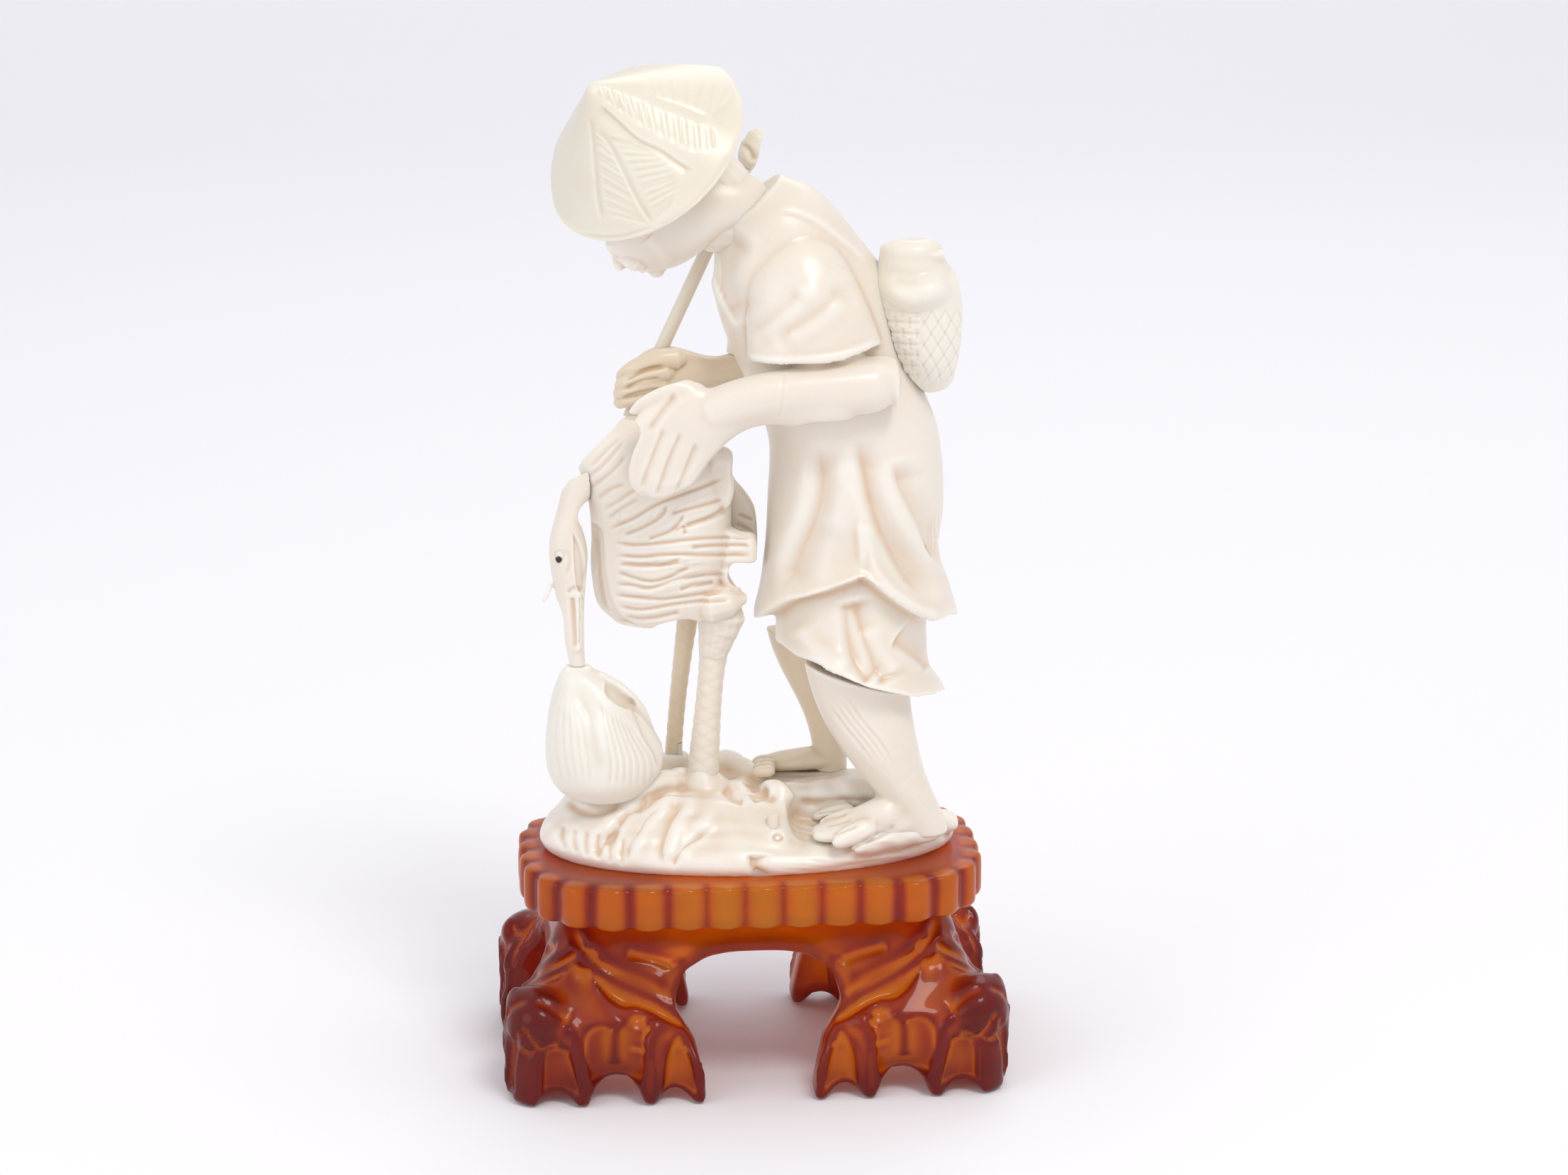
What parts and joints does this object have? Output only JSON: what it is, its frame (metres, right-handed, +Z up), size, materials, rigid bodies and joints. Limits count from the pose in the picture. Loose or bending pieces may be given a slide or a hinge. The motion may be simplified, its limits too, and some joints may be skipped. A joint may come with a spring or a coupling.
{
  "type": "sectional figure carving on a stand",
  "caption": "Carved stooping fisherman with hat, staff and creel, a heron and a clam on a mound, lifting off a scalloped amber stand with four root-like legs.",
  "frame": {"origin": "on the table, under the middle of the stand", "axes": "+Z up, the fisherman faces -X, -Y is the side that is looked at"},
  "size_m": [0.08, 0.05, 0.1601],
  "materials": {
    "amber": "polished translucent amber-red resin, dark where it is thick and orange where it is thin",
    "ivory": "polished warm cream carving with pinkish recesses",
    "ivory_green": "polished cream with a faint green cast",
    "ivory_deep": "polished cream, yellower than the rest",
    "ivory_white": "polished whiter cream",
    "inlay": "black inlay",
    "pin": "plain turned pin"
  },
  "bodies": {
    "stand": {"stand": "amber"},
    "carving": {"mound": "ivory", "mound_plug": "ivory", "clam": "ivory_white", "heron_near_leg": "ivory", "heron_far_leg": "ivory_deep", "heron_body": "ivory", "heron_neck": "ivory", "heron_eyes": "inlay", "fisherman_near_leg": "ivory", "fisherman_far_leg": "ivory_deep", "robe": "ivory", "head": "ivory", "hat": "ivory_green", "near_arm": "ivory", "far_arm": "ivory_deep", "staff": "ivory_green", "staff_head": "ivory_green", "creel": "ivory_white", "joint_pins": "pin", "stand_pins": "pin"}
  },
  "joints": [
    {"name": "carving_lift", "type": "slide", "parent": "stand", "child": "carving", "axis": [0, 0, 1], "range_m": [0, 0.03]}
  ]
}
